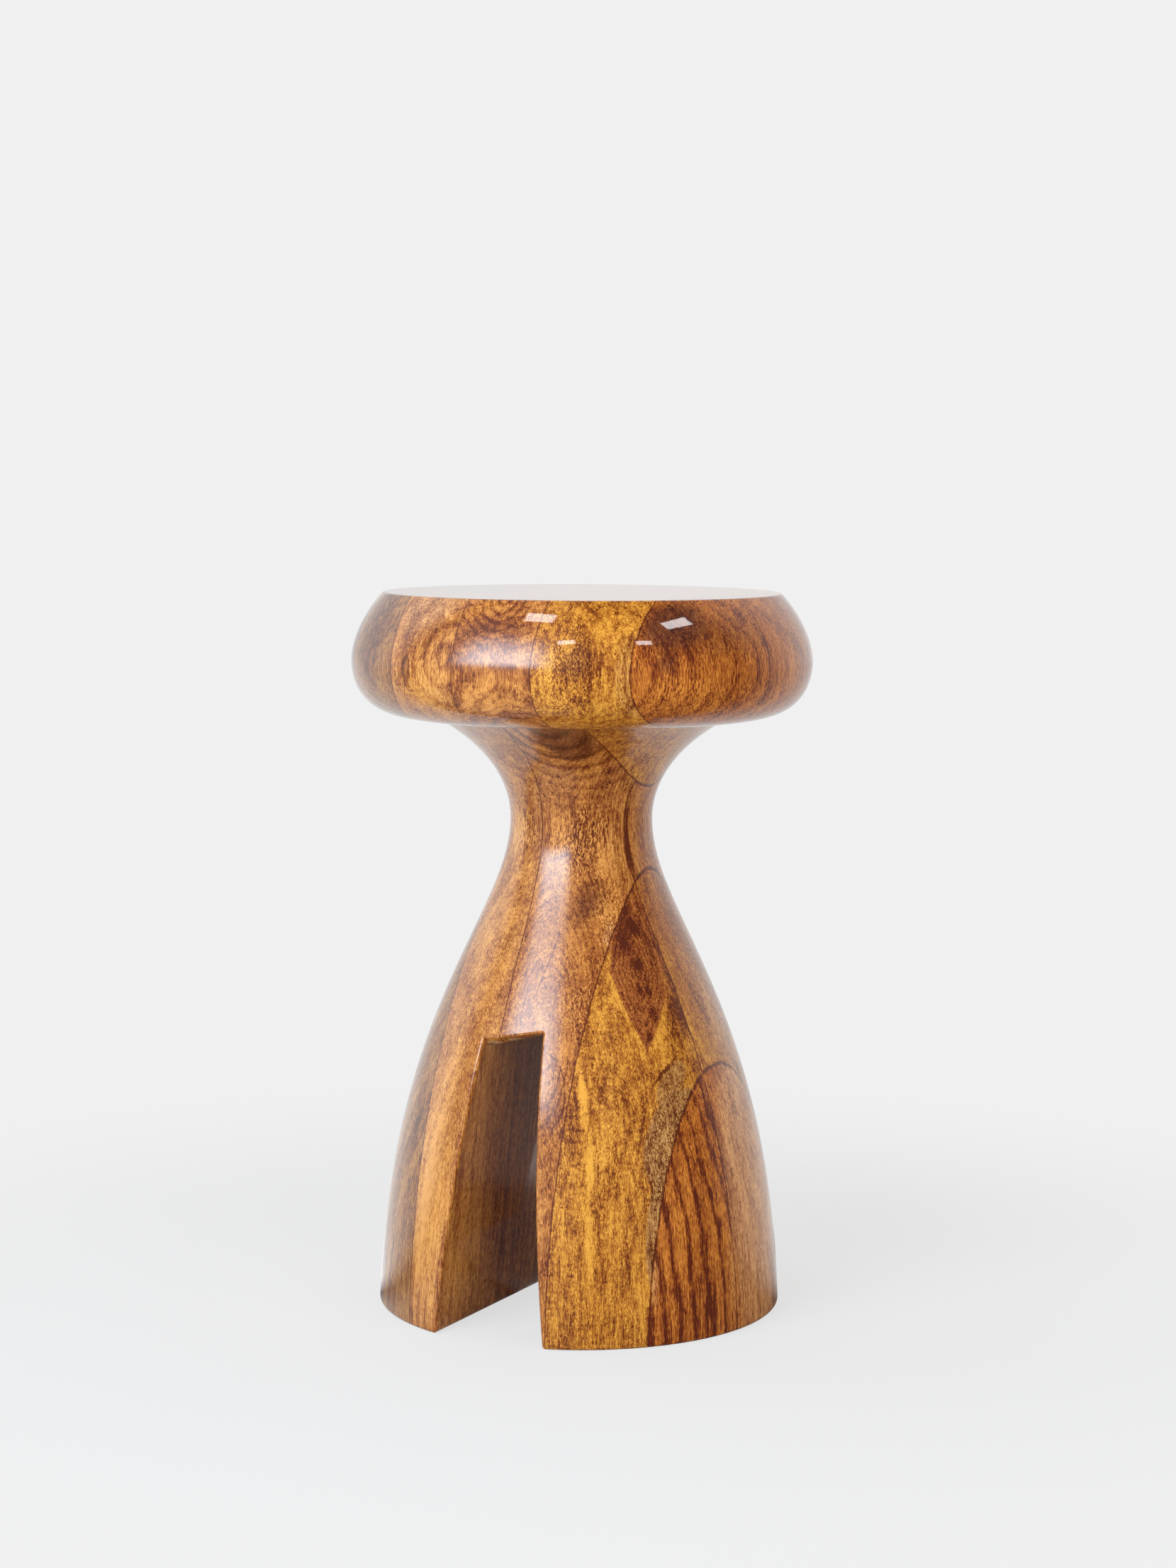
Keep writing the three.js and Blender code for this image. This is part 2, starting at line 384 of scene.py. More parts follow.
def shade(mesh, form, boards):
    """Smooth normals: the turned surface's own, flat ones on flat faces, and averaged ones in the slot."""
    low, high = turned_outline(form)
    corners = np.empty(len(mesh.vertices) * 3)
    mesh.vertices.foreach_get("co", corners)
    corners = corners.reshape(-1, 3)
    radius = np.hypot(corners[:, 0], corners[:, 1])
    turn = boards.turn
    ways = [(math.cos(turn), -math.sin(turn), 0), (math.sin(turn), math.cos(turn), 0)]
    flats = (0.0, form.underside_height, form.seat_height)
    on_level, on_ring = 2e-6, 5e-5
    slot_faces, loop_normals = [], np.zeros((len(mesh.loops), 3))
    for face in mesh.polygons:
        used = list(face.vertices)
        loops = list(face.loop_indices)
        normal = np.array(face.normal)
        level = corners[used, 2]
        if abs(normal[2]) > 0.9999 and any(np.all(np.abs(level - flat) < on_level) for flat in flats):
            loop_normals[loops] = (0, 0, math.copysign(1, normal[2]))
            continue
        if any(abs(abs(np.dot(normal, way)) - 1) < 1e-7 for way in ways):
            loop_normals[loops] = normal
            continue
        points, normals = low if level.mean() < form.underside_height else high
        ring = np.interp(level, points[:, 1], points[:, 0])
        if np.all(np.abs(radius[used] - ring) < on_ring):
            out = np.stack([np.interp(level, points[:, 1], normals[:, i]) for i in (0, 1)], axis=1)
            spot = corners[used, :2] / radius[used, None]
            smooth = np.concatenate([out[:, :1] * spot, out[:, 1:]], axis=1)
            smooth /= np.linalg.norm(smooth, axis=1, keepdims=True)
            if np.dot(smooth.mean(axis=0), normal) > 0.9:
                loop_normals[loops] = smooth
                continue
        slot_faces.append(face.index)
    around = {}
    for index in slot_faces:
        face = mesh.polygons[index]
        for vertex in face.vertices:
            around.setdefault(vertex, []).append((np.array(face.normal), face.area))
    for index in slot_faces:
        face = mesh.polygons[index]
        own = np.array(face.normal)
        for loop, vertex in zip(face.loop_indices, face.vertices):
            near = [n * a for n, a in around[vertex] if np.dot(n, own) > 0.8]
            total = np.sum(near, axis=0)
            loop_normals[loop] = total / np.linalg.norm(total)
    mesh.polygons.foreach_set("use_smooth", [True] * len(mesh.polygons))
    mesh.normals_split_custom_set([tuple(n) for n in loop_normals])


def add_board(context, node_name, material, across, along, heights):
    """Cuts one board out of the slotted form and puts it in the place of its frame node."""
    form, boards = context.scene.stool_form, context.scene.stool_boards
    mesh = combined(stool_form(form), board_block(boards, across, along, heights), "INTERSECT")
    if len(mesh.polygons) == 0:
        raise RuntimeError("no wood is left in " + node_name)
    mesh.name = "turned_" + node_name
    shade(mesh, form, boards)
    mesh.materials.clear()
    mesh.materials.append(material)
    piece = bpy.data.objects.new("turned_" + node_name, mesh)
    context.scene.collection.objects.link(piece)
    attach(piece, "root")
    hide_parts(node_name)


def add_layer(context, pattern, layer, heights, slot_name):
    """The four boards of a layer: left and right of the middle, in front of and behind the edge joint."""
    boards = context.scene.stool_boards
    thick, joint = boards.thickness, boards.joint / 2
    near, far = layer * thick + joint, (layer + 1) * thick - joint
    columns = {"front": (-BLOCK_REACH, -boards.setback - joint), "back": (-boards.setback + joint, BLOCK_REACH)}
    for side, across in (("left", (-far, -near)), ("right", (near, far))):
        slot = slot_name + "_" + side
        for column, along in columns.items():
            name = pattern.format(side + "_" + column)
            add_board(context, name, board_wood(slot, column), across, along, heights)


# Places in the wood are board coordinates in millimetres: across the layers from the middle joint,
# along them from the middle of the stool, and up the grain from the floor.

# What a board has unless it says otherwise: the lean of its pith, the point of its heart (its way in degrees,
# and how pointed it is), the length of its flecks, the sway of its grain, the strengths of its clouds, broken
# bands, rungs and streaks, its gold flecks (strength, how patchy), and its heartwood (radius, strength, lines).
PLAIN_BOARD = dict(
    lean=(0.0, 0.0), point=(0, 0), short=0.8, sway=6, cloud=0.3, broken=0.2, rungs=0.1, streaks=0.12,
    flecks=(0.9, 0.5), heart=(10, 0.3, 0.2),
)

# Each board's own: its pith, its growth bands (spacing, strength), its growth lines (spacing, first radius,
# strength, share of it in the seat), the shift of its noise, and what differs from a plain board.
BOARD_LOOKS = {
    "core_wood_left_front": dict(
        pith=(-14, -145), lean=(-0.01, 0.006), bands=(7, 0.5), cloud=0.36, lines=(6.0, 0, 0.06, 1.0),
        heart=(9, 0.1, 0.1), shift=(3, 1, 7),
    ),
    "core_wood_left_back": dict(
        pith=(-30, 70), lean=(0.01, 0.0), sway=7, bands=(8, 0.8), cloud=0.35, streaks=0.15,
        lines=(7.0, 2, 0.08, 1.0), heart=(14, 0.5, 0.2), shift=(13, 5, 2),
    ),
    "core_wood_right_front": dict(
        pith=(27, -86), lean=(-0.02, 0.01), short=0.7, sway=5, bands=(9, 0.45), cloud=0.4, streaks=0.08,
        lines=(2.9, 0, 0.2, 1.0), flecks=(0.95, 0.6), heart=(15, 0.0, 0.16), shift=(5, 9, 4),
    ),
    "core_wood_right_back": dict(
        pith=(20, 95), lean=(0.0, 0.02), bands=(8, 0.56), broken=0.15, lines=(5.0, 1, 0.06, 1.0), flecks=(0.8, 0.4),
        heart=(12, 0.4, 0.2), shift=(2, 15, 6),
    ),
    "mid_wood_left_front": dict(
        pith=(-30, 60), lean=(0.02, 0.0), bands=(6, 0.8), broken=0.18, rungs=0.05, streaks=0.2,
        lines=(5.0, 0, 0.12, 1.0), flecks=(0.8, 0.3), heart=(10, 0.2, 0.2), shift=(8, 3, 11),
    ),
    "mid_wood_left_back": dict(
        pith=(-75, 110), lean=(0.0, 0.01), sway=7, bands=(7, 0.8), cloud=0.35, broken=0.18, streaks=0.15,
        lines=(6.0, 0, 0.1, 1.0), heart=(16, 0.5, 0.2), shift=(1, 12, 9),
    ),
    "mid_wood_right_front": dict(
        pith=(66.4, -37.4), lean=(-0.03, 0.018), point=(-39, 0.6), short=0.45, sway=2.5, bands=(11, 0.5), cloud=0.42,
        broken=0.4, rungs=0.16, streaks=0.05, lines=(3.1, 0.4, 0.05, 1.0), flecks=(1.1, 0.3), heart=(19.0, 1.0, 0.3),
        shift=(6, 2, 3),
    ),
    "mid_wood_right_back": dict(
        pith=(60, 30), lean=(0.0, 0.02), sway=4, bands=(7, 0.64), broken=0.15, lines=(4.5, 1, 0.08, 1.0),
        flecks=(0.8, 0.4), heart=(24, 0.4, 0.2), shift=(9, 9, 1),
    ),
    "rim_wood_left_front": dict(
        pith=(-90, 20), bands=(8, 0.8), broken=0.16, rungs=0.05, streaks=0.2, lines=(6.0, 0, 0.12, 1.0),
        flecks=(0.7, 0.4), shift=(4, 14, 3),
    ),
    "rim_wood_left_back": dict(
        pith=(-130, 60), bands=(8, 0.72), broken=0.16, streaks=0.15, lines=(7.0, 0, 0.1, 1.0), flecks=(0.8, 0.4),
        shift=(12, 4, 8),
    ),
    "rim_wood_right_front": dict(
        pith=(74.5, 27.8), lean=(-0.033, 0.003), short=1.1, sway=1.8, bands=(10.4, 0.4), cloud=0.34, rungs=0.03,
        streaks=0.24, lines=(7.8, 51.6, 0.6, 0.3), flecks=(1.1, 0.3), heart=(10, 0.3, 0.3), shift=(7, 6, 5),
    ),
    "rim_wood_right_back": dict(
        pith=(74.5, 27.8), lean=(-0.033, 0.003), sway=4.0, bands=(10.4, 0.56), broken=0.15, rungs=0.05, streaks=0.2,
        lines=(3.6, 51.6, 0.12, 0.8), shift=(7, 6, 5),
    ),
}

PITH_LEVEL = 250  # the height at which the place of the pith is given
WHOLE_YEARS = 39.65  # keeps the count of growth lines above zero, and puts a line's dark edge at the first radius

# How one wood goes from its darkest growth to gold, as shares of its middle tone
SHADES = (
    (0.0, (0.26, 0.12, 0.05)),
    (0.25, (0.64, 0.45, 0.28)),
    (0.5, (1.0, 1.0, 1.0)),
    (0.74, (1.42, 1.64, 1.75)),
    (1.0, (1.78, 2.3, 2.9)),
)

# Marks in single boards: kind, strength, place, half sizes, softness, and the lean across in degrees where it
# leans. A dark or gold mark shifts the wood's own tone, rings do so in as many steps as their last number says,
# and a curly one has stronger gold flecks. The others are woods of another colour. The pale marks on the slot's
# eased ceiling are mostly painted reflection of the bright floor, and the large dark mark in the slot is painted
# shade together with darker wood.
BOARD_MARKS = {
    "core_wood_left_front": (
        ("gold", 0.16, (-44, -116, 60), (11, 34, 84), 0.7), ("gold", 0.24, (-18, -40, 302), (13, 16, 22), 0.9),
        ("tan", 0.6, (-30, -130, 452), (26, 18, 22), 0.6), ("rings", 0.3, (-6, -130, 425), (52, 120, 60), 6),
        ("dark", 0.12, (-25, -140, 438), (25, 40, 18), 0.5), ("gold", 0.16, (-25, -140, 402), (25, 40, 17), 0.6),
        ("dark", 0.2, (-4, -138, 447), (3.5, 9, 11), 0.8), ("dark", 0.22, (-1.5, -146, 424), (2.6, 6, 11), 0.8),
        ("dark", 0.2, (-1.8, -147, 404), (2.4, 6, 9), 0.8),
        ("umber", 0.8, (-37.3, -142.7, 417), (4.4, 7, 9.5), 0.25),
        ("curly", 0.8, (-27, -140, 412), (22, 22, 20), 0.8), ("curly", 1.4, (-14, -44, 312), (14, 12, 22), 0.9),
        ("gold", 0.4, (-37.3, -142.7, 417), (2.6, 5, 7), 0.4), ("gold", 0.12, (-22, -140, 410), (20, 20, 24), 0.9),
        ("gold", 0.2, (-16, -43, 312), (10, 10, 16), 0.9), ("gold", 0.3, (-36, -100, 90), (20, 50, 110), 0.5),
        # The pale mark at the end of the next line is mostly painted reflection of the bright floor on the eased
        # ceiling.
        ("gold", 0.1, (-20, -60, 240), (30, 50, 60), 0.7), ("pale", 0.6, (-6, -86, 181), (9, 8, 2.4), 0.4),
        # Painted shade: this large dark mark darkens the slot's left wall, where little light reaches, together with
        # darker wood there.
        ("dark", 0.14, (-28, 12, 70), (30, 95, 150), 0.3),
    ),
    "core_wood_right_front": (
        ("umber", 0.95, (33, -70, 376), (21, 50, 22), 0.3), ("rings", 0.5, (28, -66, 394), (84, 160, 84), 12),
        ("rings", 0.4, (24, -130, 462), (32, 90, 36), 7), ("dark", 0.18, (22, -140, 436), (28, 40, 18), 0.5),
        ("curly", 1.5, (26, -38, 304), (30, 22, 28), 0.8), ("curly", 1.5, (45, -38, 262), (10, 16, 26), 0.8),
        ("curly", 1.0, (46, -72, 205), (10, 16, 30), 0.8), ("dark", 0.2, (49.5, -138, 408), (5.5, 14, 20), 0.9),
        ("umber", 0.85, (35, -45, 266), (10, 20, 20), 0.9), ("tan", 0.6, (49.5, -45, 250), (3.2, 8, 12), 0.5),
        ("dark", 0.2, (48, -61, 223), (6, 10, 22), 0.9), ("dark", 0.4, (20.5, -74, 226), (1.0, 22, 44), 0.9, -10),
        ("dark", 0.5, (45.5, -17.5, 306), (6, 1.6, 38), 0.7), ("dark", 0.22, (54, -100, 123), (3, 9, 40), 0.9),
        ("dark", 0.4, (36, -90, 177.5), (0.8, 20, 9), 0.7, 53), ("dark", 0.4, (45, -90, 167), (0.8, 20, 8), 0.7, 26),
        ("dark", 0.4, (49, -92, 150), (0.8, 20, 13), 0.7, 6), ("gold", 0.22, (22, -143, 402), (28, 30, 17), 0.7),
        ("gold", 0.32, (36, -30, 292), (14, 14, 32), 0.9), ("gold", 0.16, (8, -45, 316), (9, 8, 14), 0.9),
        # The pale mark at the end of the next line is mostly painted reflection of the bright floor on the eased
        # ceiling.
        ("gold", 0.2, (46, -38, 262), (3.5, 7, 16), 0.8), ("pale", 0.5, (8, -85, 184.5), (12, 8, 1.8), 0.4),
    ),
    "core_wood_right_back": (
        ("dark", 0.6, (46, -15, 300), (7, 1.8, 38), 0.6), ("dark", 0.14, (48, 0, 262), (10, 16, 20), 0.8),
    ),
    "mid_wood_left_front": (
        ("dark", 0.3, (-77, -106, 436), (24, 50, 44), 0.5), ("rings", 0.3, (-70, -110, 462), (34, 90, 70), 8),
        ("dark", 0.22, (-62, -92, 134), (9, 22, 50), 0.9),
    ),
    "mid_wood_right_front": (
        ("sap", 0.95, (102, -56, 132), (12.4, 40, 37), 0.15, -6), ("sap", 0.95, (104, -76, 88), (7.6, 24, 58), 0.15),
        ("sap", 0.85, (94.5, -43, 160), (5.2, 18, 23), 0.3, -8), ("sap", 0.4, (101, -112, 413), (8.0, 30, 38), 0.4),
        ("dark", 0.22, (84, -4, 225), (21, 24, 62), 0.6, 14), ("heart", 0.9, (58, -22, 258), (16, 26, 24), 0.4, 20),
        ("heart", 1.0, (53, -38, 250), (6.5, 18, 24), 0.25, 6), ("dark", 0.26, (53, -38, 250), (7, 18, 26), 0.4, 6),
        ("heart", 1.0, (66, -17, 248), (17, 15, 34), 0.25, 22), ("dark", 0.2, (70, -18, 244), (16, 12, 34), 0.4, 22),
        ("dark", 0.26, (87, -24, 202), (8, 14, 30), 0.7, 16), ("dark", 0.1, (58, -14, 262), (18, 30, 34), 0.5, 20),
        ("dark", 0.1, (65, -40, 232), (6, 30, 40), 0.9, 30), ("gold", 0.2, (66, -100, 100), (16, 30, 80), 0.9),
        ("curly", 0.9, (70, -128, 415), (20, 26, 34), 0.8), ("curly", 1.1, (101, -60, 130), (12, 40, 60), 0.5),
        ("dark", 0.6, (90.5, -45, 165), (1.3, 20, 19), 0.8, -14),
        ("dark", 0.6, (88.8, -58, 126), (1.3, 20, 26), 0.8, 2), ("dark", 0.3, (86, -19, 200), (1.6, 9, 30), 0.8, 22),
        ("dark", 0.25, (92, -30, 182), (1.2, 9, 22), 0.8, 18), ("heart", 0.6, (82, -25, 205), (5.5, 9, 27), 0.6, 20),
        ("dark", 0.5, (58.4, -28.6, 251), (2.8, 6, 8), 0.8, 28),
        ("dark", 0.45, (65.7, -36.4, 230), (3.6, 6, 6.5), 0.7, 28),
        ("dark", 0.5, (70.6, -41.7, 214.7), (2.0, 4, 6), 0.7, 28),
        ("dark", 0.5, (73.4, -36.9, 214.3), (1.8, 4, 5), 0.7, 28),
        ("dark", 0.4, (78.8, -39.3, 200.4), (2.6, 5, 9), 0.8, 28),
        ("dark", 0.45, (80.5, -46.6, 187.5), (2.2, 4, 6), 0.8, 28),
        ("dark", 0.18, (56, -38, 245), (5, 12, 14), 0.8, 28), ("dark", 0.2, (72, -128.5, 420), (6.5, 14, 9), 0.9),
        ("dark", 0.28, (57, -95, 141), (6, 10, 1.6), 0.9), ("dark", 0.28, (58, -97, 134), (7, 10, 1.6), 0.9, -6),
        ("dark", 0.3, (58.5, -98, 127), (7, 10, 1.9), 0.9, 4), ("dark", 0.28, (59, -99, 120), (7, 10, 1.5), 0.9),
        ("dark", 0.26, (60, -101, 113), (6, 10, 1.5), 0.9, 6), ("dark", 0.26, (64, -100, 101), (9, 9, 4.5), 0.9),
        ("dark", 0.24, (62, -106, 60), (5, 9, 1.6), 0.9), ("dark", 0.24, (62, -107, 53), (5, 9, 1.6), 0.9),
        ("dark", 0.24, (62.5, -108, 46), (5, 9, 1.6), 0.9), ("dark", 0.14, (69.4, -100.6, 82), (5, 8, 6), 0.9),
        ("dark", 0.2, (62.5, -110, 42), (3.2, 8, 30), 0.9), ("gold", 0.5, (58.5, -88, 150), (3.0, 12, 24), 0.6, 12),
        ("gold", 0.5, (67.5, -94, 112), (2.8, 12, 30), 0.6, 6), ("gold", 0.4, (72, -101, 66), (3.0, 12, 30), 0.6, 6),
        ("dark", 0.3, (55, -86, 148), (1.0, 12, 26), 0.6, 12),
        ("dark", 0.3, (71.5, -95, 116), (1.0, 12, 28), 0.6, 6), ("dark", 0.12, (76, -128, 432), (28, 60, 40), 0.3),
        ("dark", 0.16, (57, -95, 128), (7, 16, 50), 0.5, 4), ("gold", 0.2, (90.5, -73, 112), (1.6, 8, 34), 0.8),
        ("gold", 0.1, (78, -80, 135), (10, 14, 32), 0.9), ("gold", 0.2, (60, -135, 412), (9, 30, 26), 0.9),
        ("gold", 0.2, (88, -122, 410), (8, 30, 20), 0.9), ("gold", 0.24, (90, -112, 446), (14, 30, 12), 0.8, -20),
        ("dark", 0.3, (99, -112, 425), (1.6, 30, 40), 0.6), ("heart", 0.5, (66, -50, 364), (30, 60, 26), 0.3),
        ("umber", 0.5, (76, -126, 424), (11, 30, 16), 0.8),
    ),
    "mid_wood_right_back": (
        ("heart", 0.75, (64, -4, 262), (30, 36, 46), 0.7, 20), ("heart", 0.4, (84, -4, 215), (16, 24, 50), 0.7, 24),
        ("tan", 0.5, (88, 26, 190), (20, 30, 60), 0.7),
    ),
    "rim_wood_left_front": (
        ("dark", 0.22, (-120, -70, 430), (34, 70, 50), 0.5), ("rings", 0.3, (-112, -80, 400), (44, 90, 64), 8),
    ),
    "rim_wood_right_front": (
        ("gold", 0.2, (112, -72, 62), (12, 40, 60), 0.8), ("umber", 1.0, (116, -82, 446), (22, 40, 20), 0.5),
        ("umber", 0.8, (116.5, -89, 424), (7, 16, 10), 0.8), ("dark", 0.1, (118, -82, 440), (26, 40, 24), 0.5),
        ("umber", 0.5, (136, -60, 440), (24, 60, 22), 0.7), ("curly", 0.8, (121, -81, 408), (30, 30, 18), 0.8),
        ("tan", 0.5, (102, -76, 46), (4, 8, 32), 0.7), ("tan", 0.6, (130, -16, 78), (9, 14, 100), 0.7),
        ("gold", 0.1, (104, -60, 90), (14, 40, 90), 0.8), ("gold", 0.16, (121, -81, 404), (28, 40, 16), 0.9),
    ),
    "rim_wood_right_back": (
        ("tan", 0.6, (122, 45, 70), (60, 70, 170), 0.2), ("gold", 0.18, (122, 45, 70), (60, 70, 170), 0.3),
        ("dark", 0.14, (128, -10, 90), (5, 10, 90), 0.9),
    ),
}


def node(tree, kind, inputs=(), out=0, **settings):
    """Adds a node with its settings, and its inputs as values or sockets, in their order or by name.

    Its operation may follow its kind, after a dot. Returns one of its outputs, or the node itself.
    """
    kind, _, operation = kind.partition(".")
    made = tree.nodes.new("ShaderNode" + kind)
    if operation:
        made.operation = operation
    for key, value in settings.items():
        setattr(made, key, value)
    for key, value in inputs.items() if isinstance(inputs, dict) else enumerate(inputs):
        if isinstance(value, bpy.types.NodeSocket):
            tree.links.new(value, made.inputs[key])
        else:
            made.inputs[key].default_value = value
    return made if out is None else made.outputs[out]


SOFT = {"interpolation_type": "SMOOTHSTEP"}

# The figure that all the boards have, finest last: which grain it follows, sizes in millimetres across,
# along and up the grain, detail, the noise between which it turns, and what that does to the tone.
# Real fibres are 0.1 mm wide and pores 0.2 mm; they are drawn 0.6 and 0.8 mm wide so that they show.
FIGURE = (
    ("cloud", "grown", (9, 9, 95), 2.0, (0.2, 0.8), (-0.5, 0.5)),
    ("broken", "grown", (2.4, 2.4, 30), 2.0, (0.25, 0.75), (-0.55, 0.55)),
    ("rungs", "grown", (6, 6, 2.2), 1.0, (0.3, 0.7), (-0.5, 0.5)),
    ("streaks", "grown", (1.8, 1.8, 70), 1.0, (0.54, 0.68), (0.0, -1.0)),
    ("curl", "grown", (6, 6, 30), 2.0, (0.35, 0.65), (0.0, 1.0)),
    ("flecks", "wriggle", (0.9, 0.9, 4.5), 1.0, (0.42, 0.66), (-0.1, 0.22)),
    ("threads", "wriggle", (2.8, 2.8, 14), 1.0, None, (-0.11, 0.15)),
    ("pores", "wriggle", (0.8, 0.8, 5.0), 0.0, (0.6, 0.74), (0.0, -0.1)),
    ("fibres", "wriggle", (0.6, 0.6, 9.0), 1.0, (0.2, 0.8), (-0.26, 0.26)),
)


def reach_from(add, place, centre, half_sizes, turn=(0, 0, 0)):
    """The distance from a centre, as a share of the half sizes."""
    place = add(
        "Mapping", {"Vector": place, "Location": centre, "Rotation": turn, "Scale": half_sizes}, vector_type="TEXTURE"
    )
    return add("VectorMath.LENGTH", (place,), "Value")


def wavy_grain(add, place, look):
    """Places as the grain carries them: it sways by a few millimetres over a hand's width, and wriggles by one
    over a finger's."""
    grains = {"place": place}
    for grain, follows, sizes, width in (
        ("grown", "place", (40, 40, 150), look["sway"]),
        ("wriggle", "grown", (5, 5, 9), 1.6),
    ):
        place = grains[follows]
        sway = add("Mapping", {"Vector": place, "Location": look["shift"], "Scale": [1 / size for size in sizes]})
        sway = add("TexNoise", {"Vector": sway, "Scale": 1.0, "Detail": 1.5}, 1)
        sway = add("VectorMath.ADD", (sway, (-0.5, -0.5, -0.5)))
        grains[grain] = add("VectorMath.MULTIPLY_ADD", (sway, (width, width, 0), place))
    return grains


def board_figure(add, grains, look):
    """The shift of tone by each part of the figure."""
    figure = {}
    for index, (kind, follows, sizes, detail, turns, (low, high)) in enumerate(FIGURE):
        if kind in ("flecks", "threads"):
            sizes = (*sizes[:2], sizes[2] * look["short"])
        shift = [part + 3.7 * index for part in look["shift"]]
        part = add("Mapping", {"Vector": grains[follows], "Location": shift, "Scale": [1 / size for size in sizes]})
        part = add("TexNoise", {"Vector": part, "Scale": 1.0, "Detail": detail})
        if turns is None:
            # Threads run along the noise's own contours, nine of them over its whole range.
            part = add("Math.MULTIPLY", (part, 9.0))
            part = add("Math.PINGPONG", (part, 0.5))
            turns = (0.1, 0.46)
        figure[kind] = add("MapRange", (part, turns[0], turns[1], low, high), **SOFT)
    return figure


def growth(add, grown, height, figure, look):
    """The tone of the growth round the board's own pith, and where it is heartwood."""
    # Distance from the pith. Round a pointed heart it is partly the sum of the distances outward and sideways.
    lean_across, lean_along = look["lean"]
    outward, pointed = look["point"]
    turn = (-lean_along, lean_across, math.radians(outward))
    from_pith = add(
        "Mapping", {"Vector": grown, "Location": (*look["pith"], PITH_LEVEL), "Rotation": turn}, vector_type="TEXTURE"
    )
    from_pith = add("VectorMath.MULTIPLY", (from_pith, (1, 1, 0)))
    radius = add("VectorMath.LENGTH", (from_pith,), "Value")
    heart_way = add("VectorMath.ABSOLUTE", (from_pith,))
    heart_way = add("VectorMath.DOT_PRODUCT", (heart_way, (1, 1, 0)), "Value")
    heart_way = add("Mix", {0: pointed, 2: radius, 3: heart_way})

    # Broad growth bands, then the clouds, broken bands, rungs and streaks.
    spacing, strength = look["bands"]
    bands = add("Math.MULTIPLY", (radius, 1 / spacing))
    bands = add("TexNoise", {"W": bands, "Scale": 1.0, "Detail": 2.5, "Roughness": 0.6}, noise_dimensions="1D")
    tone = add("Math.MULTIPLY_ADD", (bands, strength, 0.5 - strength / 2))
    for kind in ("cloud", "broken", "rungs", "streaks"):
        tone = add("Math.MULTIPLY_ADD", (figure[kind], look[kind], tone))

    # Heartwood ends in a crisp line with a gold one outside it, and stays below the seat.
    heart_radius, heart_strength, heart_lines = look["heart"]
    in_heart = add("MapRange", (heart_way, heart_radius + 0.7, heart_radius - 0.5), **SOFT)
    in_foot = add("MapRange", (height, 320, 280), **SOFT)
    heart = add("Math.MULTIPLY", (in_heart, in_foot))
    rim = add("Math.COMPARE", (heart_way, heart_radius + 1.5, 1.3))
    rim = add("Math.MULTIPLY", (rim, in_foot))
    tone = add("Math.MULTIPLY_ADD", (rim, 0.15 * heart_strength, tone))
    calmed = add("Math.MULTIPLY", (heart, 0.6 * heart_strength))
    tone = add("Mix", {0: calmed, 2: tone, 3: 0.46})

    # Growth lines, darker towards the end of each year, and not everywhere.
    period, first, line_strength, in_seat = look["lines"]
    lines = add("Mix", {0: in_heart, 2: radius, 3: heart_way})
    lines = add("Math.MULTIPLY_ADD", (lines, 1 / period, WHOLE_YEARS - first / period))
    lines = add("Math.MULTIPLY_ADD", (figure["cloud"], 0.6, lines))
    lines = add("Math.PINGPONG", (lines, 0.5))
    lines = add("MapRange", (lines, 0.02, 0.28, 1.0, 0.0), **SOFT)
    strength = add("MapRange", {"Value": in_foot, 3: line_strength * in_seat, 4: line_strength})
    strength = add("Mix", {0: heart, 2: strength, 3: heart_lines})
    lines = add("Math.MULTIPLY", (lines, strength))
    faint = add("MapRange", (figure["broken"], -0.4, 0.4, 1.1, 0.6))
    lines = add("Math.MULTIPLY", (lines, faint))
    tone = add("Math.SUBTRACT", (tone, lines))
    return tone, add("Math.MULTIPLY", (heart, heart_strength))


def add_marks(add, grains, figure, look, marks, tone, wood, finish):
    """The tone and the wood's colour with the gold flecks, the pores and fibres, and the board's own marks."""
    fleck_strength, patchy = look["flecks"]
    curly = add("MapRange", {"Value": figure["curl"], 3: fleck_strength * (1 - patchy), 4: fleck_strength})
    tinted = []
    for kind, strength, centre, half, soft, *lean in marks:
        grain = grains["wriggle" if kind in ("dark", "gold") else "grown"]
        reach = reach_from(add, grain, centre, half, (0, math.radians(-sum(lean)), 0))
        start = 0.0 if kind == "rings" else 1 - soft
        mark = add("MapRange", (reach, start, 1.0, strength, 0.0), **SOFT)
        if kind == "curly":
            curly = add("Math.ADD", (curly, mark))
            continue
        if kind == "rings":
            # A dark ring of growth round the centre at every step outward.
            ring = add("Math.MULTIPLY", (reach, soft))
            ring = add("Math.PINGPONG", (ring, 0.5))
            ring = add("MapRange", (ring, 0.03, 0.3, 1.0, -0.25))
            mark = add("Math.MULTIPLY", (mark, ring))
        tinted.append((kind, mark))

    # Gold flecks, 0.9 mm wide and 2 to 5 mm long, and wavy threads about 1 mm apart, where the grain is curly.
    flecks = add("Math.ADD", (figure["flecks"], figure["threads"]))
    tone = add("Math.MULTIPLY_ADD", (flecks, curly, tone))
    for kind in ("pores", "fibres"):
        tone = add("Math.ADD", (tone, figure[kind]))
    for kind, mark in tinted:
        if kind in ("dark", "gold", "rings"):
            tone = add("Math", (tone, mark), operation="ADD" if kind == "gold" else "SUBTRACT")
        else:
            wood = add("Mix", {0: mark, 6: wood, 7: (*getattr(finish, kind), 1)}, 2, data_type="RGBA")
    return tone, wood


def glue_lines(add, across, along, cloud, boards):
    """The glue's dark line along both faces and the edge of the board, stronger in some places than in others."""
    faces = add("Math.PINGPONG", (across, boards.thickness * 500))
    edge = add("Math.ADD", (along, boards.setback * 1000))
    edge = add("Math.ABSOLUTE", (edge,))
    glue = add("Math.MINIMUM", (faces, edge))
    glue = add("MapRange", (glue, 0.2, 0.6, 1.0, 0.0), **SOFT)
    faint = add("MapRange", (cloud, -0.5, 0.5, 0.6, 0.3))
    return add("Math.MULTIPLY", (glue, faint))


